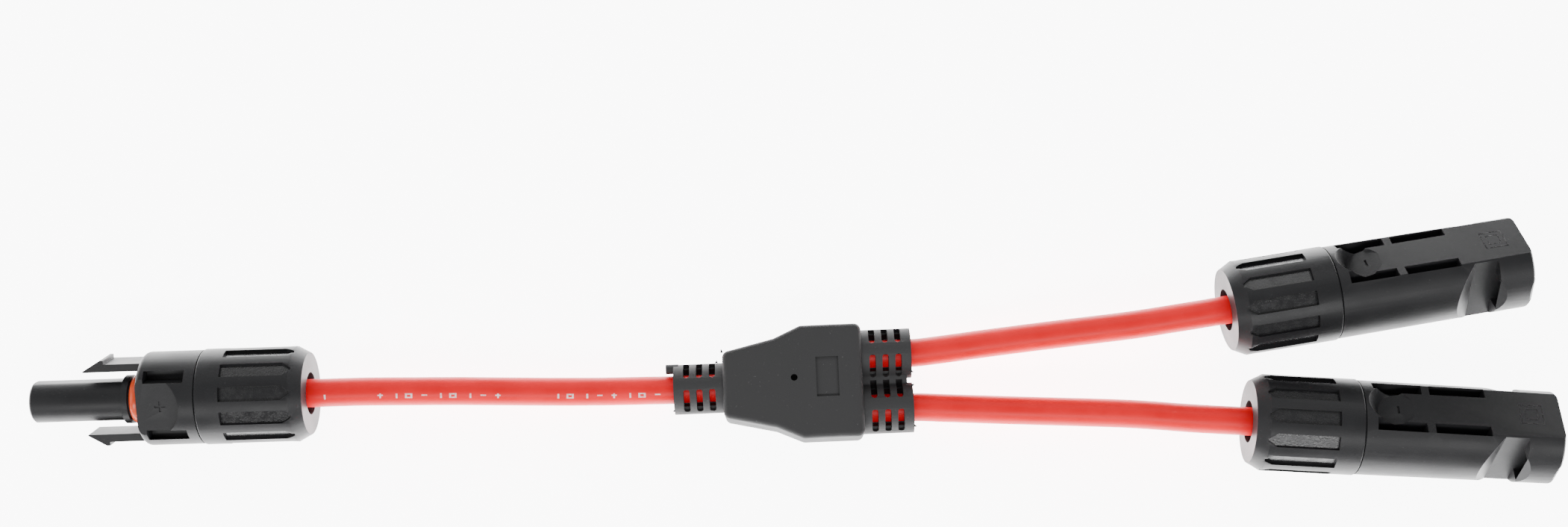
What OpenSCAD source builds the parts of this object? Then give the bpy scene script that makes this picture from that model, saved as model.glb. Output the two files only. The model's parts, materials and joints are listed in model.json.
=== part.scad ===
// Y-branch cable for solar panels: one latching plug, a moulded Y and two receptacles.
// Frame: origin at the centre of the Y body's underside, +X towards the receptacles, +Z up.
// Each connector has its own frame: origin at the seam between nut and housing, +X towards
// the mate, Y across the two latches and Z out of the flat that carries the polarity mark.

/* [Cable] */
// Outside diameter of the cable jacket
cable_d = 5.8; // [5:0.1:7]
// Diameter of the bare conductor
conductor_d = 2.5; // [2:0.1:3]

/* [Gland] */
// Thickness of the rubber cable seal
seal_wall = 1.55; // [1.2:0.05:2]
// Thickness of the clamping cage
cage_wall = 1.4; // [1.1:0.05:1.8]
// Thickness of the threaded neck
neck_wall = 1.95; // [1.5:0.05:2.5]
// Length of the threaded neck
neck_l = 11.5; // [9:0.5:14]
// Smallest wall of the gland nut over the thread
nut_wall = 1.74; // [1.5:0.02:2.4]
// Length of the gland nut
nut_l = 21.5; // [20:0.5:27]
// Length of the taper at the rear of the nut
nut_taper_l = 2.5; // [1.5:0.5:4]
// Radial drop of the nut's rear taper
nut_taper_h = 1.35; // [0.8:0.05:1.8]
// Number of flutes around the nut
flute_n = 12; // [8:1:14]
// Width of one flute
flute_w = 2.9; // [2:0.1:3.4]
// Length of one flute
flute_l = 14.2; // [10:0.2:15]
// Depth of one flute
flute_deep = 0.8; // [0.4:0.1:1]
// Distance from the seam to the flutes
flute_start = 5.1; // [3:0.1:6]

/* [Contacts] */
// Diameter of the contact pins
pin_d = 4; // [3.4:0.1:4.8]
// Wall of the socket contact
socket_wall = 0.95; // [0.8:0.05:1.2]
// Outside diameter of the crimp barrels
crimp_d = 4.4; // [4:0.1:5]

/* [Plug] */
// Length of the plug housing from seam to front face
plug_l = 12; // [10:0.5:15]
// Insulating wall around the socket contact
probe_wall = 1.2; // [1:0.05:1.5]
// Length of the probe ahead of the front face
probe_l = 23; // [19:0.2:26]
// Radial height of the collar on the probe
collar_h = 0.65; // [0.5:0.05:0.9]
// Distance from the front face to the collar
collar_start = 2.8; // [2.4:0.1:3.6]
// Length of the collar
collar_l = 1.3; // [1:0.1:2]

/* [Latches] */
// Thickness of a latch arm
latch_t = 1.6; // [1.3:0.1:1.9]
// Height of a latch arm, along the pivot
latch_h = 6.8; // [5:0.2:7.4]
// Distance a latch reaches ahead of the front face
latch_reach = 11.8; // [10:0.2:14]
// Distance from the front face to the latch's catch face
catch_x = 7.4; // [6.4:0.1:8.4]
// Height of the barb over the arm
barb_h = 0.8; // [0.6:0.05:1.1]
// Room that each latch has to swing in
latch_swing = 1.55; // [1.4:0.05:2]

/* [Receptacles] */
// Length of a receptacle housing from seam to front face
receptacle_l = 39.6; // [36:0.2:48]
// Depth of the wide mouth of the bore
mouth_l = 4.5; // [4:0.1:6]
// Depth of the pin's tip behind the front face
pin_setback = 11; // [9:0.5:14]

/* [Housings] */
// Depth of the flats on the round housings
flat_deep = 1.9; // [1.4:0.1:2.2]
// Width of the moulding slots in the flats
slot_w = 2.2; // [1.6:0.1:2.4]

/* [Y body] */
// Length of the Y body
y_l = 28.6; // [26:0.2:36]
// Wall of the strain-relief boots
boot_wall = 2.2; // [2:0.1:3]
// Length of the strain-relief boots
boot_l = 10.2; // [9.6:0.1:14]
// Roundness of the body's corners in plan
y_corner = 1.4; // [1.1:0.1:3]
// Roundness of the body's edges
y_edge = 1; // [0.6:0.1:1.3]
// Depth of the blank label recess
label_deep = 0.6; // [0.2:0.1:0.8]

/* [Hidden] */
$fn = 72;
fit_gap = 0.05;                       // radial clearance of turning and sliding fits
seat_gap = 0.1;                       // clearance around pieces held inside
free_gap = 0.3;                       // clearance of pieces that swing past each other
seam_gap = 0.1;                       // between a tight nut and its housing

// Gland, from the cable outwards
cable_r = cable_d / 2;
seal_r = cable_r + fit_gap + seal_wall;
cage_in = seal_r + seat_gap;
cage_r = cage_in + cage_wall;
neck_bore = cage_r + fit_gap;
neck_r = neck_bore + neck_wall;
neck_floor = 2;                       // solid between neck bore and seam
jacket_x = -neck_floor - 0.5;         // where the jacket ends in a housing
nut_hole = cable_r + 1.4;
cage_front = 4;
cage_shoulder = neck_l + free_gap;
cage_cone = cage_shoulder + 1.2;      // start of the cage's cone
cage_tip = cage_cone + 5.5;
cage_cone_r = cage_r + 0.9;
cage_tip_r = cage_in + 0.6;
cage_slot = 0.7;

// Contacts
pin_r = pin_d / 2;
socket_bore = pin_r + fit_gap;
socket_r = socket_bore + socket_wall;
contact_room = socket_r + seat_gap;
crimp_r = crimp_d / 2;
crimp_bore = conductor_d / 2 + fit_gap;
crimp_x = 0.5;                        // rear end of the crimp barrels
crimp_l = 7.5;
shoulder_r = pin_r + 0.4;             // of the pins, inside their housings
flange_x = 9;
flange_l = 1;
strip_l = 8;                          // bare conductor at a connector

// Plug
probe_r = contact_room + probe_wall;
collar_r = probe_r + collar_h;
probe_tip = plug_l + probe_l;
probe_flat = probe_r - 0.25;          // half width across the probe's side flats
lip_l = 1.8;                          // end lip of the probe
contact_end = probe_tip - lip_l - 0.5;
ring_x = plug_l + collar_start / 2;   // middle of the sealing ring
ring_r = collar_start / 2 - 0.2;

// Latches
latch_flex = 5;                       // degrees that an arm swings inwards
latch_in = probe_r + 0.65 + latch_swing;
latch_out = latch_in + latch_t;
latch_y = latch_in + latch_t / 2;
latch_x = 2.9;                        // pivot, ahead of the seam
root_r = latch_t / 2 + 0.1;
root_socket = root_r + fit_gap;
latch_tip = plug_l + latch_reach;
cavity_in = latch_in - (plug_l - latch_x) * sin(latch_flex) - 0.2;
cavity_out = latch_out + free_gap;
cavity_h = latch_h / 2 + 0.4;
side_wall = 0.38;

// Outside sizes: the gland or the latch cavities set them, whichever needs more
nut_step = 0.2;                       // nut stands this proud of the housing
nut_r = max(neck_r + fit_gap + nut_wall, norm([cavity_out, cavity_h]) + side_wall + nut_step);
housing_r = nut_r - nut_step;
flat_z = housing_r - flat_deep;
flat_arc = 6.2;                       // radius of the flats' rear ends
flat_x = 3;
window_x = 2.1;                       // blind windows beside the plug's flats
window_w = 2.3;
window_in = probe_r + 0.55;
scoop_r = 3.6;                        // of the thumb scoop's floor
scoop_x = 2;                          // rear end of the thumb scoop
scoop_deep = 2.2;
scoop_tilt = 16;
scoop_lean = 20;                      // of the scoop's wall, outwards

// Receptacle
bore_r = probe_r + 0.2;
mouth_r = collar_r + 0.15;
bore_end = receptacle_l - probe_l - 1.7;
pin_tip = receptacle_l - pin_setback;
head_x = receptacle_l - catch_x + 0.2; // catch face, 0.2 mm free of the latch's
arm_slot_in = mouth_r + 0.6;
notch_floor = arm_slot_in;
notch_x = head_x - 9.2;
notch_ramp = 4.4;
arm_slot_out = latch_out + 0.2;
arm_slot_h = latch_h / 2 + free_gap;
head_cut = 1.1;                       // chamfer on the front side corners
catch_cut = 2;                        // chamfer on the rear side corners of the head
slot_y = bore_r + 0.1;
slot_z = bore_r - 0.3;                // floor of the moulding slots
draft = 0.25;                         // the housing narrows by this much to the front

// Y body
boot_r = cable_r + fit_gap + boot_wall;
boot_slot_w = 1.3;
boot_slot_half = boot_r * 0.4;        // half length between the slot ends' centres
boot_slot_deep = boot_r - cable_r;
boot_throat = cable_r * 0.68;         // half length of the slot's opening to the jacket
boot_slot_pitch = boot_l * 0.26;
boot_slot_turn = 38;                  // where the first row stands, from the top
branch_y = boot_r + 0.5;
y_t = 2 * (boot_r + 1.05);
y_z = y_t / 2;
y_w_common = 2 * (boot_r + 1.85);
y_w_neck = y_w_common + 4.4;
y_w_branch = 2 * (branch_y + boot_r + 0.8);
y_x0 = -y_l / 2;
y_x1 = y_l / 2;
y_neck_x = y_x0 + 11;                 // where the gentle flare turns steep
y_wide_x = y_neck_x + 5.4;            // where the body reaches its full width
splice_r = 3.2;
splice_l = 8;
splice_x = -6;
splice_bore = 2.75;
jacket_end = 2.5;                     // the jackets end this far inside the Y body
web_w = 2;                            // of the web between the two branch boots
strand_y = 1.35;                      // offset of the branch conductors in the splice

// Places of the three connectors: seam, yaw about +Z and roll about their own axis
axis_z = nut_r;
plug_at = [-120.4, 2.3, axis_z];
plug_turn = [-20, 0, 179.4];
left_at = [111.2, 14, axis_z];
left_turn = [-37, 0, 7];
right_at = [113.9, -13.8, axis_z];
right_turn = [-29, 0, -5.5];
straight_l = 10.5;                    // straight cable behind a nut

// Free stretches of the three cables, from the Y to the connector
common_free = [[-30, 0.1, 6.3], [-40, 0.3, 6.6], [-50, 0.6, 7.3], [-60, 1, 8.2], [-70, 1.4, 9],
    [-80, 1.7, 9.6]];
left_free = [[30, 6, 6.3], [40, 6.9, 6.7], [50, 7.7, 7.4], [60, 8.4, 8.4], [70, 9.1, 9.3]];
right_free = [[30, -6, 6.3], [40, -6.8, 6.7], [50, -7.6, 7.4], [60, -8.4, 8.4], [70, -9.3, 9.3]];

// ---- helpers ----

// A solid of revolution about X from (x, radius) points
module turn(points) rotate([0, 90, 0]) rotate_extrude() polygon([for (p = points) [p[1], p[0]]]);

// A round bar along X
module rod(x0, x1, r) translate([x0, 0, 0]) rotate([0, 90, 0]) cylinder(r = r, h = x1 - x0);

// A ring along X
module tube(x0, x1, r_out, r_in) difference() {
    rod(x0, x1, r_out);
    rod(x0 - 1, x1 + 1, r_in);
}

module both_sides() {
    children();
    mirror([0, 1, 0]) children();
}

module both_faces() {
    children();
    rotate([180, 0, 0]) children();
}

module place(at, turn) translate(at) rotate([0, 0, turn[2]]) rotate([turn[0], 0, 0]) children();

// A point on a connector's axis, in the part's frame
function on_axis(at, turn, x) = at + x * [cos(turn[2]), sin(turn[2]), 0];

// A round cable swept along a route, as one closed solid
function direction(p, i) = let (d = p[min(i + 1, len(p) - 1)] - p[max(i - 1, 0)]) d / norm(d);
function ring(p, i, r, n) = let (t = direction(p, i), u = cross([0, 0, 1], t) / norm(cross([0, 0, 1], t)),
    v = cross(t, u)) [for (k = [0:n - 1]) p[i] + r * (cos(360 * k / n) * u + sin(360 * k / n) * v)];
module sweep(p, r, n = 12) {
    last = len(p) - 1;
    polyhedron(
        [for (i = [0:last]) each ring(p, i, r, n)],
        concat([[for (k = [0:n - 1]) k]], [[for (k = [n - 1:-1:0]) last * n + k]],
            [for (i = [0:last - 1], k = [0:n - 1])
                [i * n + k, (i + 1) * n + k, (i + 1) * n + (k + 1) % n, i * n + (k + 1) % n]]));
}

// The whole route of a cable: out of the Y, the free stretch, then straight into the gland
function route(y, side, free, at, turn) = concat(
    [[side * (y_l / 2 - jacket_end), y, y_z], [side * (y_l / 2 + boot_l + 0.5), y, y_z]], free,
    [on_axis(at, turn, -nut_l - straight_l), on_axis(at, turn, -nut_l), on_axis(at, turn, jacket_x)]);

// A branch conductor's way from inside the splice to its jacket's end
function strand_route(s) = let (x0 = splice_x + splice_l, x1 = y_x1 - jacket_end)
    [[x0 - 3, s * strand_y, 0], [x0, s * strand_y, 0], [x0 + 1, s * (strand_y + 0.3), 0],
        [x1 - 1.6, s * (branch_y - 0.2), 0], [x1 - 0.8, s * branch_y, 0], [x1, s * branch_y, 0]];

// ---- Y ----

// A block with rounded corners and edges over a convex outline
module pillow(corners) hull() for (c = corners, a = [0:22.5:90])
    translate([c[0], c[1], y_z]) cylinder(
        r = y_corner - y_edge * (1 - cos(a)), h = y_t - 2 * y_edge * (1 - sin(a)), center = true, $fn = 24);

function corner(x, w, s) = [x, s * (w / 2 - y_corner)];

// A round-ended slot in a boot; it reaches the jacket along its middle only, so that the rows stay apart
module boot_slot() {
    translate([-boot_slot_w / 2, -boot_throat, cable_r * 0.82])
        cube([boot_slot_w, 2 * boot_throat, boot_slot_deep]);
    translate([0, 0, cable_r + 0.6]) {
        translate([-boot_slot_w / 2, -boot_slot_half, 0])
            cube([boot_slot_w, 2 * boot_slot_half, boot_slot_deep]);
        both_sides() translate([0, boot_slot_half, 0])
            cylinder(r = boot_slot_w / 2, h = boot_slot_deep, $fn = 24);
    }
}

// The rows of slots around a boot that starts at x and runs along dx
module boot_slots(x, dx) for (i = [1:3], a = [0:90:270])
    translate([x + dx * boot_slot_pitch * i, 0, 0]) rotate([boot_slot_turn + a, 0, 0]) boot_slot();

module y_overmould() color("#2f3033") difference() {
    union() {
        pillow([for (s = [-1, 1]) each [corner(y_x0 + y_corner, y_w_common, s),
            corner(y_neck_x, y_w_neck, s)]]);
        pillow([for (s = [-1, 1]) each [corner(y_neck_x, y_w_neck, s), corner(y_wide_x, y_w_branch, s),
            corner(y_x1 - y_corner, y_w_branch, s)]]);
        translate([0, 0, y_z]) rod(y_x0 - boot_l, y_x0 + 3, boot_r);
        for (s = [-1, 1]) translate([0, s * branch_y, y_z]) rod(y_x1 - 3, y_x1 + boot_l, boot_r);
        translate([y_x1 - 1, -web_w / 2, y_z - web_w]) cube([boot_l, web_w, 2 * web_w]);
        translate([0, boot_r - 1, y_z + 1.4]) rod(y_x0 - boot_l - 1.6, y_x0 - boot_l + 1, 1);
    }
    translate([0, 0, y_z]) {
        rod(y_x0 - boot_l - 1, y_x0 + jacket_end, cable_r + fit_gap);
        boot_slots(y_x0 - boot_l, 1);
        rod(y_x0, splice_x, conductor_d / 2 + fit_gap);
        rod(splice_x, splice_x + splice_l, splice_r + fit_gap);
        for (s = [-1, 1]) {
            translate([0, s * branch_y, 0]) rod(y_x1 - jacket_end, y_x1 + boot_l + 1, cable_r + fit_gap);
            translate([0, s * branch_y, 0]) boot_slots(y_x1 + boot_l, -1);
            sweep(strand_route(s), conductor_d / 2 + seat_gap);
        }
    }
    translate([4.8, -3.2, y_t - label_deep]) cube([4.6, 8.1, 2]);
    translate([0.3, 0.9, y_t - 2.5]) cylinder(r = 0.7, h = 3);
}

module splice_crimp() color("#b5a58a") translate([0, 0, y_z])
    tube(splice_x, splice_x + splice_l, splice_r, splice_bore);

// ---- cables ----

module cable(y, side, free, at, turn) color("#d8232a") sweep(route(y, side, free, at, turn), cable_r);

// The bare end in a connector's contact
module bare_end(at, turn) place(at, turn) rod(jacket_x, jacket_x + strip_l, conductor_d / 2);

module conductor_common() color("#c9885a") {
    translate([0, 0, y_z]) rod(y_x0 + jacket_end, splice_x + 3, conductor_d / 2);
    bare_end(plug_at, plug_turn);
}

module conductor_branch(s, at, turn) color("#c9885a") {
    translate([0, 0, y_z]) sweep(strand_route(s), conductor_d / 2);
    bare_end(at, turn);
}

// ---- gland, behind every housing ----

module gland_nut(phase) color("#1d1d1f") difference() {
    turn([[-seam_gap, nut_r - 0.3], [-0.4, nut_r], [nut_taper_l - nut_l, nut_r],
        [-nut_l, nut_r - nut_taper_h], [-nut_l, nut_hole], [-cage_tip - 0.5, nut_hole],
        [-cage_tip - 0.5, cage_tip_r + fit_gap],
        [-cage_tip, cage_tip_r + fit_gap], [-cage_cone, cage_cone_r + fit_gap],
        [-cage_shoulder + 0.1, cage_cone_r + fit_gap], [-cage_shoulder + 0.1, neck_r + fit_gap],
        [-seam_gap, neck_r + fit_gap]]);
    for (i = [0:flute_n - 1]) rotate([phase + 360 * i / flute_n, 0, 0]) flute();
}

// A flute is square at the front and pointed at the rear
module flute() translate([-flute_start, 0, nut_r - flute_deep]) linear_extrude(flute_deep + 1)
    polygon([[0, -flute_w / 2], [0, flute_w / 2], [1.8 - flute_l, flute_w / 2], [-flute_l, 0.3],
        [-flute_l, -0.3], [1.8 - flute_l, -flute_w / 2]]);

module collet() color("#3a3a3d") difference() {
    turn([[-cage_front, cage_r], [-cage_shoulder, cage_r], [-cage_shoulder, cage_cone_r],
        [-cage_cone, cage_cone_r], [-cage_tip, cage_tip_r], [-cage_tip, cage_in], [-cage_front, cage_in]]);
    for (a = [22.5:45:157.5]) rotate([a, 0, 0])
        translate([-cage_tip - 1, -cage_slot / 2, -nut_r])
            cube([cage_tip - cage_front - 4, cage_slot, 2 * nut_r]);
}

module cable_seal() color("#55575a") tube(-cage_tip + 1, -cage_front - 1, seal_r, cable_r + fit_gap);

// ---- shared features of the housings ----

// Neck bore and the room for the crimp barrel
module gland_bores() {
    rod(-neck_l - 1, -neck_floor, neck_bore);
    rod(-neck_floor - 1, flange_x + flange_l + 0.2, contact_room);
}

// The flat, round at its rear end and open towards the front
module flat_cut(x1) translate([0, 0, flat_z]) linear_extrude(flat_deep + 1) {
    translate([flat_x + flat_arc, 0]) circle(flat_arc);
    translate([flat_x + flat_arc, -housing_r - 1]) square([x1, 2 * housing_r + 2]);
}

// A shallow bar of a polarity mark
module mark_bar(x, l, w, z) translate([x - l / 2, -w / 2, z - 0.2]) cube([l, w, 3]);

// ---- plug ----

module latch_cavity() {
    translate([latch_x, cavity_in, -cavity_h]) cube([plug_l, cavity_out - cavity_in, 2 * cavity_h]);
    translate([latch_x, latch_y, -cavity_h]) cylinder(r = root_socket, h = 2 * cavity_h);
}

module plug_window() translate([window_x, window_in, cavity_h + 0.5])
    cube([plug_l - window_x - 1.7, window_w, nut_r]);

module plug_housing() color("#1d1d1f") difference() {
    union() {
        turn([[-neck_l, 0], [-neck_l, neck_r], [0, neck_r], [0, housing_r],
            for (a = [90:-15:0]) [plug_l - 1.2 + 1.2 * cos(a), housing_r - 1.2 + 1.2 * sin(a)],
            [plug_l, probe_r], [probe_tip - 0.4, probe_r], [probe_tip, probe_r - 0.4], [probe_tip, 0]]);
        rod(plug_l + collar_start, plug_l + collar_start + collar_l, collar_r);
    }
    gland_bores();
    rod(flange_x, probe_tip - lip_l, contact_room);
    rod(probe_tip - lip_l - 1, probe_tip + 1, pin_r + 0.3);
    both_faces() {
        flat_cut(plug_l);
        mark_bar(7.2, 2.2, 0.4, flat_z);
        mark_bar(7.2, 0.4, 2.2, flat_z);
        both_sides() plug_window();
    }
    both_sides() {
        latch_cavity();
        translate([plug_l + collar_start + collar_l, probe_flat, -nut_r]) cube([probe_l, 3, 2 * nut_r]);
    }
}

// The arm, its barb and the round root that it flexes about
module latch() color("#1d1d1f") translate([0, 0, -latch_h / 2]) {
    translate([latch_x, latch_y, 0]) cylinder(r = root_r, h = latch_h);
    linear_extrude(latch_h) polygon([[latch_x, latch_in], [latch_x, latch_out],
        [plug_l + catch_x, latch_out], [plug_l + catch_x, latch_out + barb_h],
        [plug_l + catch_x + 0.7, latch_out + barb_h], [latch_tip, latch_in + 0.2], [latch_tip, latch_in]]);
}

// A seal ring of D-shaped section between the front face and the collar
module sealing_ring() color("#f0501e") rotate([0, 90, 0]) translate([0, 0, ring_x]) rotate_extrude()
    difference() {
        translate([collar_r + 0.25 - ring_r, 0]) circle(ring_r);
        translate([probe_r + fit_gap - 5, -3]) square([5, 6]);
    }

module socket_contact() color("#c8ccd0") difference() {
    turn([[crimp_x, crimp_bore], [crimp_x, crimp_r], [flange_x, crimp_r], [flange_x, socket_r],
        [contact_end, socket_r], [contact_end, socket_bore + 0.3], [contact_end - 0.3, socket_bore],
        [flange_x + 6, socket_bore], [flange_x + 6, 0], [crimp_x + crimp_l - 1, 0],
        [crimp_x + crimp_l - 1, crimp_bore]]);
    rod(contact_end - 12, contact_end - 5, socket_bore + 0.55);
}

// A slit spring band in the socket contact's groove
module contact_spring() color("#b8860b") difference() {
    tube(contact_end - 11.9, contact_end - 5.1, socket_bore + 0.5, socket_bore + 0.3);
    for (a = [0:45:315]) rotate([a, 0, 0]) translate([contact_end - 11, -0.2, 0]) cube([5, 0.4, 5]);
    translate([contact_end - 13, -0.25, -5]) cube([9, 0.5, 5]);
}

// ---- receptacles ----

module side_notch() translate([0, 0, -nut_r]) linear_extrude(2 * nut_r) {
    polygon([[notch_x, housing_r + 0.2], [notch_x + notch_ramp, notch_floor], [head_x, notch_floor],
        [head_x, housing_r - catch_cut * 0.6], [head_x + catch_cut, housing_r + 0.2]]);
    polygon([[receptacle_l - head_cut, housing_r], [receptacle_l + 1, housing_r - head_cut - 1],
        [receptacle_l + 1, housing_r]]);
}

module moulding_slot(x0, x1) translate([x0, slot_y - slot_w / 2, slot_z]) cube([x1 - x0, slot_w, nut_r]);

// The thumb scoop, deepest at its round rear end
module thumb_scoop() translate([scoop_x, 0, flat_z]) rotate([0, -scoop_tilt, 0])
    translate([scoop_r + scoop_deep * tan(scoop_lean), 0, -scoop_deep])
        cylinder(r1 = scoop_r, r2 = scoop_r + 8 * tan(scoop_lean), h = 8);

module receptacle_housing() color("#1d1d1f") difference() {
    turn([[-neck_l, 0], [-neck_l, neck_r], [0, neck_r], [0, housing_r],
        [receptacle_l - 0.4, housing_r - draft], [receptacle_l, housing_r - draft - 0.4],
        [receptacle_l, 0]]);
    gland_bores();
    rod(flange_x, bore_end + 1, shoulder_r + seat_gap);
    rod(bore_end, receptacle_l + 1, bore_r);
    rod(receptacle_l - mouth_l, receptacle_l + 1, mouth_r);
    both_faces() {
        flat_cut(receptacle_l);
        thumb_scoop();
        mark_bar(7.2, 0.4, 1.8, flat_z - 1);
        both_sides() moulding_slot(2.2, 12.2);
        both_sides() moulding_slot(13.8, notch_x + 1.7);
    }
    both_sides() {
        side_notch();
        translate([head_x - 0.5, arm_slot_in, -arm_slot_h])
            cube([catch_x + 3, arm_slot_out - arm_slot_in, 2 * arm_slot_h]);
    }
}

module pin_contact() color("#c8ccd0") turn([[crimp_x, crimp_bore], [crimp_x, crimp_r], [flange_x, crimp_r],
    [flange_x, socket_r], [flange_x + flange_l, socket_r], [flange_x + flange_l, shoulder_r],
    [bore_end + 0.2, shoulder_r], [bore_end + 0.2, pin_r],
    [pin_tip - 1, pin_r], [pin_tip, pin_r - 0.8], [pin_tip, 0], [crimp_x + crimp_l - 1, 0],
    [crimp_x + crimp_l - 1, crimp_bore]]);

// ---- the nodes ----

module cable_common() cable(0, -1, common_free, plug_at, plug_turn);
module cable_left() cable(branch_y, 1, left_free, left_at, left_turn);
module cable_right() cable(-branch_y, 1, right_free, right_at, right_turn);
module conductor_left() conductor_branch(1, left_at, left_turn);
module conductor_right() conductor_branch(-1, right_at, right_turn);
module in_plug() place(plug_at, plug_turn) children();
module in_left() place(left_at, left_turn) children();
module in_right() place(right_at, right_turn) children();

y_overmould();
splice_crimp();
cable_common();
cable_left();
cable_right();
conductor_common();
conductor_left();
conductor_right();
in_plug() plug_housing();
in_plug() latch();  // plug_latch_left
in_plug() mirror([0, 1, 0]) latch();  // plug_latch_right
in_plug() sealing_ring();  // plug_sealing_ring
in_plug() socket_contact();  // plug_socket_contact
in_plug() contact_spring();  // plug_contact_spring
in_plug() gland_nut(15);  // plug_gland_nut
in_plug() collet();  // plug_collet
in_plug() cable_seal();  // plug_cable_seal
in_left() receptacle_housing();  // left_housing
in_left() pin_contact();  // left_pin_contact
in_left() gland_nut(17);  // left_gland_nut
in_left() collet();  // left_collet
in_left() cable_seal();  // left_cable_seal
in_right() receptacle_housing();  // right_housing
in_right() pin_contact();  // right_pin_contact
in_right() gland_nut(26);  // right_gland_nut
in_right() collet();  // right_collet
in_right() cable_seal();  // right_cable_seal
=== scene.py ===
import json
import math

import bmesh
import bpy
from mathutils import Matrix, Vector


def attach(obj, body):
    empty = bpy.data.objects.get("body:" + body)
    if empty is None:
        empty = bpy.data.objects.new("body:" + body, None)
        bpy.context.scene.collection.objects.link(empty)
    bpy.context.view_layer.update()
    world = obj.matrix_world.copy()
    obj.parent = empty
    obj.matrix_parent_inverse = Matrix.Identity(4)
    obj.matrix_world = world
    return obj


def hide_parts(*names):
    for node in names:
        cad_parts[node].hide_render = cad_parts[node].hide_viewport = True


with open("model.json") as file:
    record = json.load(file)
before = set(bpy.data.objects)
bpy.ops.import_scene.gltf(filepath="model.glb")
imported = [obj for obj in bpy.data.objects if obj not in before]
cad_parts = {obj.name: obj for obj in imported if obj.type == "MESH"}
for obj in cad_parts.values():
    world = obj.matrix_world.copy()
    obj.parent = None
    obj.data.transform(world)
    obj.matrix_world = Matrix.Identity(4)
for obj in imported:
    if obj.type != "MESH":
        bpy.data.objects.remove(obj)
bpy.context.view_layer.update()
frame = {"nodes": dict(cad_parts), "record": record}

MM = 0.001
ROOT = "cable_assembly"
CONNECTORS = ("plug", "left", "right")

# ---------------------------------------------------------------- camera

CAMERA_AT = (-0.8 * MM, -44.9 * MM, 406 * MM)
CAMERA_TILT = 10.0        # degrees off straight down, towards the far side
CAMERA_ROLL = -2.4
CAMERA_LENS = 44.55       # mm on a 36 mm sensor


def make_camera():
    tilt, roll = math.radians(CAMERA_TILT), math.radians(CAMERA_ROLL)
    ahead = Vector((0, math.sin(tilt), -math.cos(tilt)))
    up = Vector((0, math.cos(tilt), math.sin(tilt)))
    right = ahead.cross(up)
    turned_right = right * math.cos(roll) + up * math.sin(roll)
    turned_up = up * math.cos(roll) - right * math.sin(roll)
    data = bpy.data.cameras.new("camera")
    data.lens = CAMERA_LENS
    data.sensor_width = 36
    data.clip_start = 0.01
    camera = bpy.data.objects.new("camera", data)
    turn = Matrix((turned_right, turned_up, -ahead)).transposed().to_4x4()
    camera.matrix_world = Matrix.Translation(CAMERA_AT) @ turn
    bpy.context.scene.collection.objects.link(camera)
    bpy.context.scene.camera = camera


make_camera()

# ---------------------------------------------------------------- material helpers


def new_material(name, color, roughness, **shader_values):
    material = bpy.data.materials.new(name)
    material.use_nodes = True
    nodes = material.node_tree.nodes
    shader = nodes["Principled BSDF"]
    shader.inputs["Base Color"].default_value = (*color, 1)
    shader.inputs["Roughness"].default_value = roughness
    for key, value in shader_values.items():
        shader.inputs[key.replace("_", " ")].default_value = value
    return material, material.node_tree, shader


def noise(tree, scale, detail=3.0, roughness=0.55, stretch=(1, 1, 1)):
    """Noise in object space; scale counts features per metre."""
    where = tree.nodes.new("ShaderNodeTexCoord")
    mapping = tree.nodes.new("ShaderNodeMapping")
    mapping.inputs["Scale"].default_value = stretch
    texture = tree.nodes.new("ShaderNodeTexNoise")
    texture.inputs["Scale"].default_value = scale
    texture.inputs["Detail"].default_value = detail
    texture.inputs["Roughness"].default_value = roughness
    tree.links.new(where.outputs["Object"], mapping.inputs["Vector"])
    tree.links.new(mapping.outputs["Vector"], texture.inputs["Vector"])
    return texture.outputs["Fac"]


def spread(tree, value, low, high, from_low=0.3, from_high=0.7):
    """Maps a texture's middle range to low..high."""
    node = tree.nodes.new("ShaderNodeMapRange")
    node.inputs["From Min"].default_value = from_low
    node.inputs["From Max"].default_value = from_high
    node.inputs["To Min"].default_value = low
    node.inputs["To Max"].default_value = high
    tree.links.new(value, node.inputs["Value"])
    return node.outputs["Result"]


def mix_colors(tree, factor, a, b):
    node = tree.nodes.new("ShaderNodeMix")
    node.data_type = "RGBA"
    tree.links.new(factor, node.inputs["Factor"])
    for socket, color in ((node.inputs[6], a), (node.inputs[7], b)):
        if isinstance(color, tuple):
            socket.default_value = (*color, 1)
        else:
            tree.links.new(color, socket)
    return node.outputs[2]


def bump(tree, shader, layers):
    """layers is [(height output, strength, distance in metres), ...]"""
    normal = None
    for height, strength, distance in layers:
        node = tree.nodes.new("ShaderNodeBump")
        node.inputs["Strength"].default_value = strength
        node.inputs["Distance"].default_value = distance
        tree.links.new(height, node.inputs["Height"])
        if normal is not None:
            tree.links.new(normal, node.inputs["Normal"])
        normal = node.outputs["Normal"]
    tree.links.new(normal, shader.inputs["Normal"])


def edge_mask(tree, start=0.56, end=0.7):
    """1 on sharp outer edges, where moulded plastic and rubber wear pale."""
    geometry = tree.nodes.new("ShaderNodeNewGeometry")
    return spread(tree, geometry.outputs["Pointiness"], 0, 1, start, end)


# ---------------------------------------------------------------- materials


def moulded_plastic(name, color, worn, rough_low, rough_high, grain=0.25):
    """Black nylon: fine spark grain, soft flow marks, paler edges."""
    material, tree, shader = new_material(name, color, rough_high, Specular_IOR_Level=0.24)
    flow = noise(tree, 90, 4)
    grain_noise = noise(tree, 5200, 2)
    speck = noise(tree, 1500, 2)
    base = mix_colors(tree, spread(tree, flow, 0, 1), color, tuple(1.35 * c for c in color))
    specks = mix_colors(tree, spread(tree, speck, 0, 0.5, 0.68, 0.8), base, worn)
    tree.links.new(mix_colors(tree, spread(tree, edge_mask(tree), 0, 0.25, 0, 1), specks, worn),
                   shader.inputs["Base Color"])
    tree.links.new(spread(tree, flow, rough_low, rough_high), shader.inputs["Roughness"])
    bump(tree, shader, [(grain_noise, grain, 0.03 * MM), (speck, 0.2, 0.05 * MM), (flow, 0.15, 0.3 * MM)])
    return material


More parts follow.
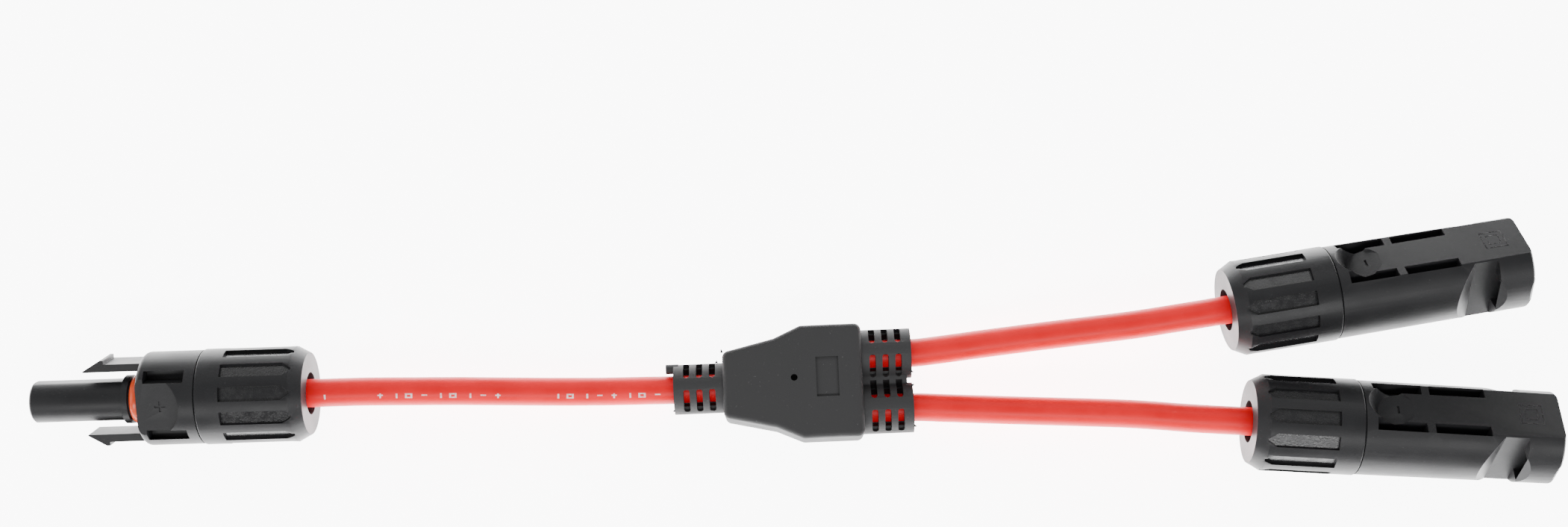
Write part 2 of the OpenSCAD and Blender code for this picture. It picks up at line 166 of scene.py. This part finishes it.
def polished_plastic():
    """The flute floors: glossy, with the tool's coarse speckle."""
    material, tree, shader = new_material("flute_floor", (0.010, 0.010, 0.011), 0.2, Specular_IOR_Level=0.6)
    speckle = noise(tree, 2600, 3, 0.7)
    tree.links.new(spread(tree, noise(tree, 700, 2), 0.14, 0.34), shader.inputs["Roughness"])
    bump(tree, shader, [(speckle, 0.55, 0.09 * MM)])
    return material


def overmould_rubber():
    material, tree, shader = new_material("overmould_rubber", (0.02, 0.02, 0.021), 0.7)
    cloud = noise(tree, 130, 5)
    fine = noise(tree, 4200, 3)
    dust = noise(tree, 1900, 2)
    base = mix_colors(tree, spread(tree, cloud, 0, 1), (0.019, 0.019, 0.02), (0.026, 0.026, 0.027))
    dusty = mix_colors(tree, spread(tree, dust, 0, 0.6, 0.7, 0.8), base, (0.1, 0.1, 0.1))
    tree.links.new(dusty, shader.inputs["Base Color"])
    tree.links.new(spread(tree, cloud, 0.62, 0.82), shader.inputs["Roughness"])
    bump(tree, shader, [(fine, 0.35, 0.05 * MM), (cloud, 0.2, 0.3 * MM)])
    return material


def cable_jacket():
    """Extruded red jacket: faint drawing lines along it, and a soft sheen painted in as lighter red streaks
    along it.
    """
    material, tree, shader = new_material("cable_jacket_red", (0.8, 0.002, 0.009), 0.42,
                                          Specular_IOR_Level=0.2)
    lines = noise(tree, 1400, 3, 0.6, (0.03, 1, 1))
    patches = noise(tree, 160, 4)
    # painted sheen: noise stretched along the cable, mixed in below as lighter red streaks
    painted_sheen = noise(tree, 900, 3, 0.6, (0.4, 1, 1))
    base = mix_colors(tree, spread(tree, patches, 0, 1), (0.76, 0.001, 0.007), (0.86, 0.003, 0.012))
    sheen_painted_color = mix_colors(tree, spread(tree, painted_sheen, 0, 0.35, 0.66, 0.8), base, (0.9, 0.03, 0.04))
    tree.links.new(sheen_painted_color, shader.inputs["Base Color"])
    tree.links.new(spread(tree, patches, 0.34, 0.5), shader.inputs["Roughness"])
    bump(tree, shader, [(lines, 0.2, 0.04 * MM), (patches, 0.2, 0.25 * MM)])
    return material


def printed_ink():
    material, tree, shader = new_material("print_marks", (0.82, 0.72, 0.72), 0.5)
    worn = noise(tree, 2500, 3)
    pale = mix_colors(tree, spread(tree, worn, 0, 1, 0.35, 0.6), (0.85, 0.35, 0.34), (0.86, 0.8, 0.8))
    tree.links.new(pale, shader.inputs["Base Color"])
    return material


def soft_rubber(name, color, pale, roughness):
    material, tree, shader = new_material(name, color, roughness)
    cloud = noise(tree, 300, 4)
    tree.links.new(mix_colors(tree, spread(tree, cloud, 0, 1), color, pale), shader.inputs["Base Color"])
    tree.links.new(spread(tree, cloud, roughness - 0.08, roughness + 0.08), shader.inputs["Roughness"])
    bump(tree, shader, [(noise(tree, 3500, 2), 0.2, 0.03 * MM)])
    return material


def plated_metal(name, color, tarnish, roughness):
    material, tree, shader = new_material(name, color, roughness, Metallic=1.0)
    cloud = noise(tree, 500, 4)
    tree.links.new(mix_colors(tree, spread(tree, cloud, 0, 1, 0.4, 0.75), color, tarnish),
                   shader.inputs["Base Color"])
    tree.links.new(spread(tree, noise(tree, 1800, 3), roughness - 0.08, roughness + 0.1),
                   shader.inputs["Roughness"])
    bump(tree, shader, [(noise(tree, 2500, 2, 0.5, (1, 0.15, 1)), 0.15, 0.02 * MM)])
    return material


HOUSING = moulded_plastic("housing_plastic", (0.012, 0.012, 0.013), (0.045, 0.045, 0.046), 0.4, 0.52)
NUT = moulded_plastic("nut_plastic", (0.011, 0.011, 0.012), (0.045, 0.045, 0.046), 0.36, 0.48, 0.4)
FLUTE = polished_plastic()
CAGE = moulded_plastic("cage_plastic", (0.05, 0.05, 0.053), (0.12, 0.12, 0.12), 0.45, 0.6)
OVERMOULD = overmould_rubber()
JACKET = cable_jacket()
INK = printed_ink()
RING = soft_rubber("ring_rubber", (0.72, 0.055, 0.008), (0.78, 0.085, 0.014), 0.34)
SEAL = soft_rubber("seal_rubber", (0.08, 0.08, 0.085), (0.11, 0.11, 0.115), 0.6)
COPPER = plated_metal("copper_strands", (0.86, 0.50, 0.33), (0.55, 0.30, 0.19), 0.32)
TIN = plated_metal("tinned_brass", (0.74, 0.74, 0.73), (0.55, 0.54, 0.51), 0.26)
BRASS = plated_metal("spring_brass", (0.86, 0.66, 0.30), (0.6, 0.45, 0.22), 0.24)


def material_of(node):
    if node.endswith("_gland_nut"):
        return NUT
    if node.endswith("_collet"):
        return CAGE
    if node.endswith("_cable_seal"):
        return SEAL
    if node.startswith("conductor"):
        return COPPER
    if node.endswith("_contact") or node == "splice_crimp":
        return TIN
    own = {"y_overmould": OVERMOULD, "plug_contact_spring": BRASS, "plug_sealing_ring": RING}
    return own.get(node, HOUSING)


for name, node in frame["nodes"].items():
    node.data.materials.clear()
    node.data.materials.append(JACKET if name.startswith("cable_") else material_of(name))

# ---------------------------------------------------------------- mesh helpers


def link(name, mesh):
    thing = bpy.data.objects.new(name, mesh)
    bpy.context.scene.collection.objects.link(thing)
    return thing


def apply_modifiers(thing):
    bpy.context.view_layer.update()
    evaluated = thing.evaluated_get(bpy.context.evaluated_depsgraph_get())
    mesh = bpy.data.meshes.new_from_object(evaluated)
    thing.modifiers.clear()
    thing.data = mesh
    return thing


def smooth_by_angle(thing, degrees=32):
    limit = math.radians(degrees)
    mesh = bmesh.new()
    mesh.from_mesh(thing.data)
    for face in mesh.faces:
        face.smooth = True
    for edge in mesh.edges:
        edge.smooth = len(edge.link_faces) == 2 and edge.calc_face_angle(0) < limit
    mesh.to_mesh(thing.data)
    mesh.free()


EDGE_SEGMENTS = 2
EDGE_ANGLE = 28           # degrees; sharper edges are rounded


def body_of(node):
    return next(b for b, members in frame["record"]["behaviour"]["bodies"].items() if node in members)


def detailed(node, width, shape=None):
    """A copy of a CAD node with welded faces and softened moulded edges, which stands in for it."""
    thing = link(node + "_detail", frame["nodes"][node].data.copy())
    mesh = bmesh.new()
    mesh.from_mesh(thing.data)
    bmesh.ops.remove_doubles(mesh, verts=mesh.verts, dist=0.002 * MM)
    bmesh.ops.dissolve_limit(mesh, angle_limit=math.radians(0.6), verts=mesh.verts, edges=mesh.edges)
    if shape:
        shape(mesh)
    mesh.to_mesh(thing.data)
    mesh.free()
    bevel = thing.modifiers.new("edges", "BEVEL")
    bevel.width = width
    bevel.segments = EDGE_SEGMENTS
    bevel.limit_method = "ANGLE"
    bevel.angle_limit = math.radians(EDGE_ANGLE)
    bevel.miter_outer = "MITER_ARC"
    apply_modifiers(thing)
    smooth_by_angle(thing)
    even = thing.modifiers.new("even_normals", "WEIGHTED_NORMAL")
    even.keep_sharp = True
    even.weight = 80
    apply_modifiers(thing)
    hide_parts(node)
    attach(thing, body_of(node))
    return thing


# ---------------------------------------------------------------- cables

CABLE_D = 5.8 * MM
SIDES = 72
RING_STEP = 0.36 * MM

Y_HALF = 14.3
BOOT_L = 10.2
BOOT_CLEAR = 0.5          # straight cable past a boot
JACKET_END = 2.5          # the jackets end this far inside the Y
JACKET_X = -2.5           # and here in a housing, from the seam
STRAIGHT_L = 10.5         # straight cable behind a nut
Y_Z = 6.2
BRANCH_Y = 5.65
AXIS_Z = 9.8
NUT_L = 21.5
NECK_L = 11.5
NECK_R = 8.0
THREAD_ROOT = 7.35
THREAD_PITCH = 1.5
THREAD_RUN_OUT = 1.2      # plain neck at each end of the thread
THREAD_STEPS = 48         # to a turn
THREAD_FADE = 12          # steps over which the ridge rises and runs out
THREAD_FOOT = 0.62        # half width of the ridge at its foot
THREAD_CREST = 0.18       # and at its crest
BURIED = 0.1              # added pieces reach this far into what they stand on
NUT_R = 9.8
FLUTE_DEEP = 0.8
FLAT_Z = 7.7
SQUARES_X = 33.6
SQUARE_HALVES = (1.2, 2.2)
SQUARE_LINE = 0.1         # half width of an outline
SQUARE_PROUD = 0.015
PLACES = {  # seam position, yaw and roll of each connector, as in the design
    "plug": ((-120.4, 2.3), 179.4, -20),
    "left": ((111.2, 14.0), 7.0, -37),
    "right": ((113.9, -13.8), -5.5, -29),
}
COMMON_FREE = [(-30, 0.1, 6.3), (-40, 0.3, 6.6), (-50, 0.6, 7.3), (-60, 1, 8.2), (-70, 1.4, 9),
               (-80, 1.7, 9.6)]
LEFT_FREE = [(30, 6, 6.3), (40, 6.9, 6.7), (50, 7.7, 7.4), (60, 8.4, 8.4), (70, 9.1, 9.3)]
RIGHT_FREE = [(30, -6, 6.3), (40, -6.8, 6.7), (50, -7.6, 7.4), (60, -8.4, 8.4), (70, -9.3, 9.3)]


def connector_frame(connector):
    """The seam's place, +X towards the mate and +Z out of the flat; takes and gives metres."""
    (x, y), yaw, roll = PLACES[connector]
    return (Matrix.Translation(Vector((x, y, AXIS_Z)) * MM) @ Matrix.Rotation(math.radians(yaw), 4, "Z")
            @ Matrix.Rotation(math.radians(roll), 4, "X"))


def on_axis(connector, x):
    return tuple(connector_frame(connector) @ Vector((x * MM, 0, 0)) / MM)


def route(side, y, free, connector):
    start = [(side * (Y_HALF - JACKET_END), y, Y_Z), (side * (Y_HALF + BOOT_L + BOOT_CLEAR), y, Y_Z)]
    end = [on_axis(connector, x) for x in (-NUT_L - STRAIGHT_L, -NUT_L, JACKET_X)]
    return [Vector(p) * MM for p in start + free + end]


def smooth_line(points, step):
    """A curve through the points, resampled at an even step."""
    fine = []
    for i in range(len(points) - 1):
        before, a = points[max(i - 1, 0)], points[i]
        b, after = points[i + 1], points[min(i + 2, len(points) - 1)]
        span = (b - a).length
        in_slope = (b - before).normalized() * span if i else (b - a)
        out_slope = (after - a).normalized() * span if i < len(points) - 2 else (b - a)
        count = max(2, int(span / step))
        for k in range(count):
            t = k / count
            fine.append(a * (2 * t**3 - 3 * t**2 + 1) + in_slope * (t**3 - 2 * t**2 + t)
                        + b * (3 * t**2 - 2 * t**3) + out_slope * (t**3 - t**2))
    fine.append(points[-1])
    return fine


def tube(name, line, radius, sides):
    mesh = bmesh.new()
    rings = []
    for i, point in enumerate(line):
        along = (line[min(i + 1, len(line) - 1)] - line[max(i - 1, 0)]).normalized()
        across = Vector((0, 0, 1)).cross(along).normalized()
        up = along.cross(across)
        rings.append([mesh.verts.new(point + radius * (math.cos(a) * across + math.sin(a) * up))
                      for a in (2 * math.pi * k / sides for k in range(sides))])
    for first, second in zip(rings, rings[1:]):
        for k in range(sides):
            mesh.faces.new((first[k], second[k], second[(k + 1) % sides], first[(k + 1) % sides]))
    mesh.faces.new(rings[0])
    mesh.faces.new(list(reversed(rings[-1])))
    bmesh.ops.recalc_face_normals(mesh, faces=mesh.faces)
    data = bpy.data.meshes.new(name)
    mesh.to_mesh(data)
    mesh.free()
    thing = link(name, data)
    smooth_by_angle(thing, 50)
    return thing


PRINT_ROW = 11             # the tube's side where the print's lower edge lies
PRINT_FIRST = 34          # rings from the Y to the first mark
PRINT_LAST = 60           # rings left plain at the plug
PRINT_GROUP = 12          # marks to a group, the last few of them left out
PRINT_SHOWN = 9
PRINT_PITCH = 8           # rings between two printed marks
PRINT_MARKS = {           # each mark's (ring, side) cells; plain ticks, dashes and boxes
    "tick": [(0, k) for k in range(4)],
    "dash": [(i, 2) for i in range(3)],
    "cross": [(1, k) for k in range(4)] + [(0, 2), (2, 2)],
    "box": [(i, k) for i in range(4) for k in range(4) if i in (0, 3) or k in (0, 3)],
}
PRINT_ORDER = ("tick", "dash", "box", "tick", "cross", "dash", "tick", "box")


def print_marks(cable, rings):
    """Pale generic marks along the side of the jacket that faces the viewer."""
    for count, start in enumerate(range(PRINT_FIRST, rings - PRINT_LAST, PRINT_PITCH)):
        if count % PRINT_GROUP >= PRINT_SHOWN:
            continue
        for along, around in PRINT_MARKS[PRINT_ORDER[count % len(PRINT_ORDER)]]:
            cable.data.polygons[(start + along) * SIDES + PRINT_ROW + around].material_index = 1


def make_cable(node, side, y, free, connector):
    points = route(side, y, free, connector)
    line = smooth_line(points, RING_STEP)
    cable = tube(node + "_jacket", line, CABLE_D / 2, SIDES)
    cable.data.materials.append(JACKET)
    cable.data.materials.append(INK)
    if node == "cable_common":
        print_marks(cable, len(line))
    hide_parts(node)
    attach(cable, ROOT)
    length = sum((b - a).length for a, b in zip(line, line[1:]))
    return cable, line, length


CABLES = {
    "cable_common": (-1, 0.0, COMMON_FREE, "plug"),
    "cable_left": (1, BRANCH_Y, LEFT_FREE, "left"),
    "cable_right": (1, -BRANCH_Y, RIGHT_FREE, "right"),
}
cables = {node: make_cable(node, *facts) for node, facts in CABLES.items()}

# ---------------------------------------------------------------- housings, nuts and latches


def connector_of(node):
    return next(c for c in CONNECTORS if node.startswith(c))


def shrink_neck(connector):
    """Takes the neck's outer wall down to the thread's root."""
    inverse = connector_frame(connector).inverted()

    def shape(mesh):
        for vert in mesh.verts:
            spot = inverse @ vert.co / MM
            radius = math.hypot(spot.y, spot.z)
            if spot.x < 0.01 and abs(radius - NECK_R) < 0.02:
                spot.y *= THREAD_ROOT / radius
                spot.z *= THREAD_ROOT / radius
                vert.co = connector_frame(connector) @ (spot * MM)
    return shape


def make_thread(connector):
    """The neck's thread: one rounded ridge that winds round it and runs out at both ends."""
    run = NECK_L - 2 * THREAD_RUN_OUT
    turns = run / THREAD_PITCH
    steps = int(turns * THREAD_STEPS)
    foot = THREAD_ROOT - BURIED
    place = connector_frame(connector)
    mesh = bmesh.new()
    rings = []
    for i in range(steps + 1):
        a = 2 * math.pi * turns * i / steps
        x = -THREAD_RUN_OUT - run * i / steps
        fade = min(1, i / THREAD_FADE, (steps - i) / THREAD_FADE)
        crest = THREAD_ROOT + (NECK_R - THREAD_ROOT) * max(fade, 0.05)
        profile = ((-THREAD_FOOT, foot), (-THREAD_CREST, crest), (THREAD_CREST, crest), (THREAD_FOOT, foot))
        rings.append([mesh.verts.new(place @ (Vector((x + dx, r * math.cos(a), r * math.sin(a))) * MM))
                      for dx, r in profile])
    for first, second in zip(rings, rings[1:]):
        for k in range(4):
            mesh.faces.new((first[k], second[k], second[(k + 1) % 4], first[(k + 1) % 4]))
    mesh.faces.new(rings[0])
    mesh.faces.new(list(reversed(rings[-1])))
    bmesh.ops.recalc_face_normals(mesh, faces=mesh.faces)
    data = bpy.data.meshes.new(connector + "_neck_thread")
    mesh.to_mesh(data)
    mesh.free()
    thing = link(connector + "_neck_thread", data)
    smooth_by_angle(thing, 25)
    thing.data.materials.append(HOUSING)
    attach(thing, ROOT)


def polish_flutes(nut, connector):
    """Gives the flute floors their own glossy finish."""
    inverse = connector_frame(connector).inverted()
    nut.data.materials.append(FLUTE)
    for face in nut.data.polygons:
        spot = inverse @ face.center / MM
        out = (inverse.to_3x3() @ face.normal).normalized()
        radius = math.hypot(spot.y, spot.z)
        facing = (out.y * spot.y + out.z * spot.z) / radius
        if facing > 0.96 and NUT_R - FLUTE_DEEP - 0.1 < radius < NUT_R - FLUTE_DEEP + 0.25:
            face.material_index = 1


def loft_frame(mesh, place, x, half, width, z):
    """A thin square outline standing just proud of a flat."""
    for dx, dy, sx, sy in ((0, half, half + width, width), (0, -half, half + width, width),
                           (half, 0, width, half), (-half, 0, width, half)):
        corners = [place @ (Vector((x + dx + u * sx, dy + v * sy, w)) * MM)
                   for w in (z - BURIED, z + SQUARE_PROUD) for u, v in ((-1, -1), (1, -1), (1, 1), (-1, 1))]
        verts = [mesh.verts.new(c) for c in corners]
        for quad in ((3, 2, 1, 0), (4, 5, 6, 7), (0, 1, 5, 4), (1, 2, 6, 5), (2, 3, 7, 6), (3, 0, 4, 7)):
            mesh.faces.new([verts[k] for k in quad])


def nested_squares(connector):
    """Two nested squares on the head's flat, as plain outlines."""
    mesh = bmesh.new()
    for half in SQUARE_HALVES:
        loft_frame(mesh, connector_frame(connector), SQUARES_X, half, SQUARE_LINE, FLAT_Z)
    data = bpy.data.meshes.new(connector + "_square_mark")
    mesh.to_mesh(data)
    mesh.free()
    thing = link(connector + "_square_mark", data)
    thing.data.materials.append(FLUTE)
    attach(thing, ROOT)


pieces = {}
for node in frame["nodes"]:
    if node.endswith("_housing"):
        pieces[node] = detailed(node, 0.2 * MM, shape=shrink_neck(connector_of(node)))
        make_thread(connector_of(node))
    elif node.startswith("plug_latch"):
        pieces[node] = detailed(node, 0.12 * MM)
    elif node.endswith("_gland_nut"):
        pieces[node] = detailed(node, 0.16 * MM)
        polish_flutes(pieces[node], connector_of(node))
    elif node.endswith(("_contact", "_collet", "_ring")):
        pieces[node] = detailed(node, 0.06 * MM)
pieces["y_overmould"] = detailed("y_overmould", 0.15 * MM)
nested_squares("left")
nested_squares("right")

FLASH = (  # moulding flash left on the Y: (x, y, z), how far it stands out and its direction
    ((-14.4, 7.0, 9.0), 0.7, (-0.2, 1, 0.2)), ((-15.6, 5.1, 7.4), 0.5, (0, 1, 0.2)),
    ((24.3, 1.6, 9.4), 0.6, (0.8, -0.6, 0.3)), ((24.4, -1.4, 9.2), 0.5, (1, 0.5, 0.2)),
    ((24.4, -9.6, 8.6), 0.6, (1, -0.4, 0.2)), ((-24.4, -4.4, 7.2), 0.5, (-1, -0.3, 0.2)),
)


def make_flash():
    mesh = bmesh.new()
    for spot, reach, way in FLASH:
        tip = Vector(way).normalized()
        turn = tip.to_track_quat("Z", "Y").to_matrix().to_4x4()
        place = Matrix.Translation(Vector(spot) * MM) @ turn @ Matrix.Translation((0, 0, reach / 2 * MM))
        bmesh.ops.create_cone(mesh, cap_ends=True, segments=9, radius1=0.28 * MM, radius2=0.1 * MM,
                              depth=reach * MM, matrix=place)
    data = bpy.data.meshes.new("y_flash")
    mesh.to_mesh(data)
    mesh.free()
    thing = link("y_flash", data)
    smooth_by_angle(thing, 50)
    thing.data.materials.append(OVERMOULD)
    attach(thing, ROOT)


make_flash()

# ---------------------------------------------------------------- floor and light

FLOOR_GLOW = 8.5          # a light table: the floor is nearly white and the shadows faint
GLOW_MIDDLE = 0.027       # in metres, towards the far side
GLOW_FULL = 0.25          # half length of the oval of full glow, in metres
GLOW_GONE = 0.42
GLOW_SQUASH = 2.3         # length of the oval over its width


def make_floor():
    mesh = bmesh.new()
    bmesh.ops.create_grid(mesh, x_segments=1, y_segments=1, size=3)
    data = bpy.data.meshes.new("floor")
    mesh.to_mesh(data)
    mesh.free()
    floor = link("floor", data)
    material, tree, shader = new_material("floor_white", (0.93, 0.93, 0.935), 0.6, Specular_IOR_Level=0.2)
    shader.inputs["Emission Color"].default_value = (1, 1, 1, 1)
    where = tree.nodes.new("ShaderNodeTexCoord")
    away = tree.nodes.new("ShaderNodeVectorMath")
    away.operation = "LENGTH"
    oval = tree.nodes.new("ShaderNodeMapping")
    oval.inputs["Location"].default_value = (0, -GLOW_MIDDLE * GLOW_SQUASH, 0)
    oval.inputs["Scale"].default_value = (1, GLOW_SQUASH, 1)
    tree.links.new(where.outputs["Object"], oval.inputs["Vector"])
    tree.links.new(oval.outputs["Vector"], away.inputs[0])
    glow = spread(tree, away.outputs["Value"], FLOOR_GLOW, 0.3, GLOW_FULL, GLOW_GONE)
    tree.links.new(glow, shader.inputs["Emission Strength"])
    floor.data.materials.append(material)


def soft_light(name, at, size, power):
    data = bpy.data.lights.new(name, "AREA")
    data.shape = "RECTANGLE"
    data.size, data.size_y = size
    data.energy = power
    light = bpy.data.objects.new(name, data)
    light.location = at
    light.rotation_euler = (-Vector(at)).to_track_quat("-Z", "Y").to_euler()
    bpy.context.scene.collection.objects.link(light)


make_floor()
soft_light("far_box", (0.1, 0.8, 0.9), (1.4, 0.7), 5)
soft_light("near_box", (0.05, -0.62, 0.74), (1.5, 0.22), 11)
soft_light("left_box", (-0.95, 0.0, 0.6), (0.5, 0.8), 3)
world = bpy.data.worlds.new("studio")
world.use_nodes = True
world.node_tree.nodes["Background"].inputs["Color"].default_value = (1, 1, 1, 1)
world.node_tree.nodes["Background"].inputs["Strength"].default_value = 0.4
bpy.context.scene.world = world
